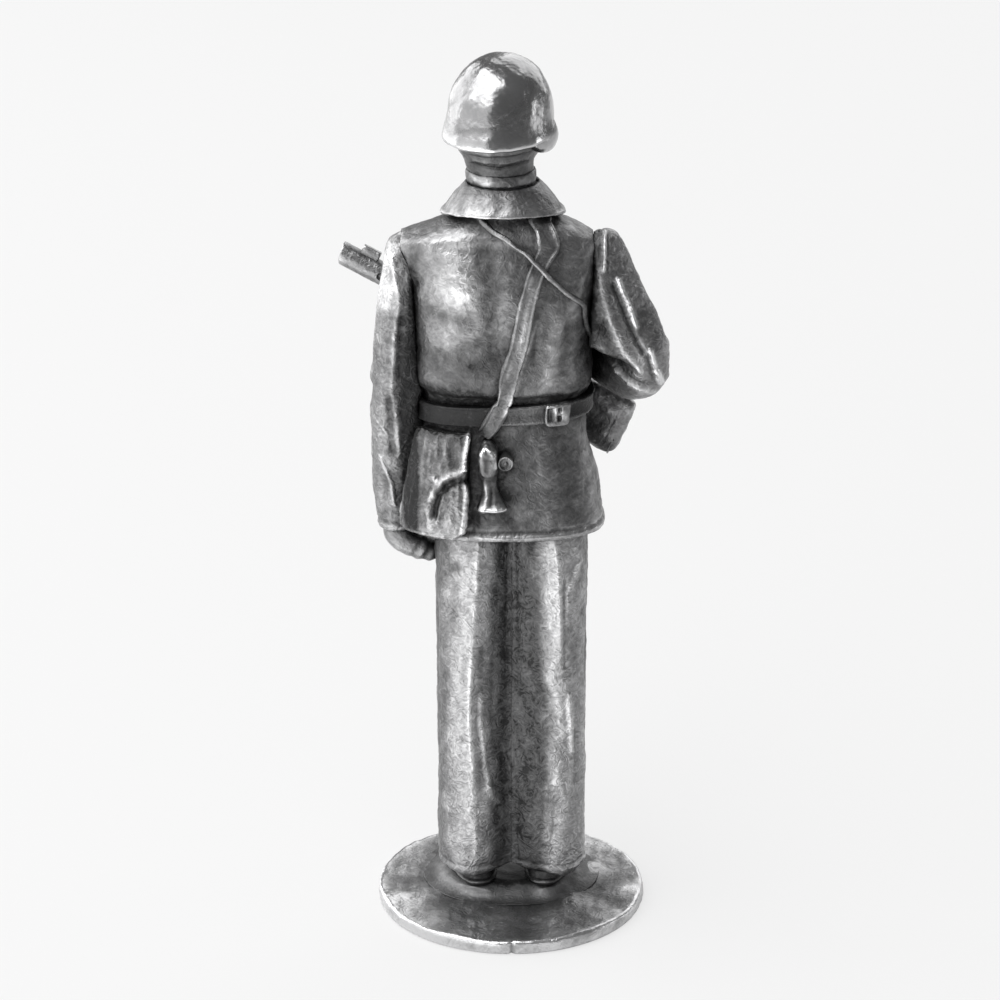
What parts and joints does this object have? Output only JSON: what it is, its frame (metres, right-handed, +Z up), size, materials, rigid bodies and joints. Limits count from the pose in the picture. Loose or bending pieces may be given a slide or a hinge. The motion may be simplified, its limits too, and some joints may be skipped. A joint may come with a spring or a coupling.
{
  "type": "toy soldier figure",
  "caption": "Antiqued pewter toy soldier on a round base: helmet, belted jacket, bent and hanging arms, haversack, flask and slung gun, built as pinned castings.",
  "frame": {"origin": "centre of the underside of the round base plate", "axes": "+Z up, the figure faces -Y and its left hand is on the +X side"},
  "size_m": [0.0217, 0.0184, 0.0596],
  "materials": {
    "pewter": "antiqued cast pewter, dark in the hollows and rubbed bright on the ridges",
    "steel_pin": "plain drawn wire"
  },
  "bodies": {
    "root": {"base_plate": "pewter", "ground_plate": "pewter", "left_leg": "pewter", "right_leg": "pewter", "left_boot": "pewter", "right_boot": "pewter", "jacket": "pewter", "collar": "pewter", "neck_scarf": "pewter", "head": "pewter", "helmet": "pewter", "left_sleeve": "pewter", "right_sleeve": "pewter", "left_hand": "pewter", "right_hand": "pewter", "waist_belt": "pewter", "belt_buckle": "pewter", "belt_slider": "pewter", "haversack": "pewter", "haversack_strap": "pewter", "water_flask": "pewter", "flask_stud": "pewter", "gun_receiver": "pewter", "gun_stock": "pewter", "gun_magazine": "pewter", "gun_sling": "pewter", "foot_pins": "steel_pin", "hip_pins": "steel_pin", "neck_pin": "steel_pin", "shoulder_pins": "steel_pin", "wrist_pins": "steel_pin"}
  },
  "joints": []
}
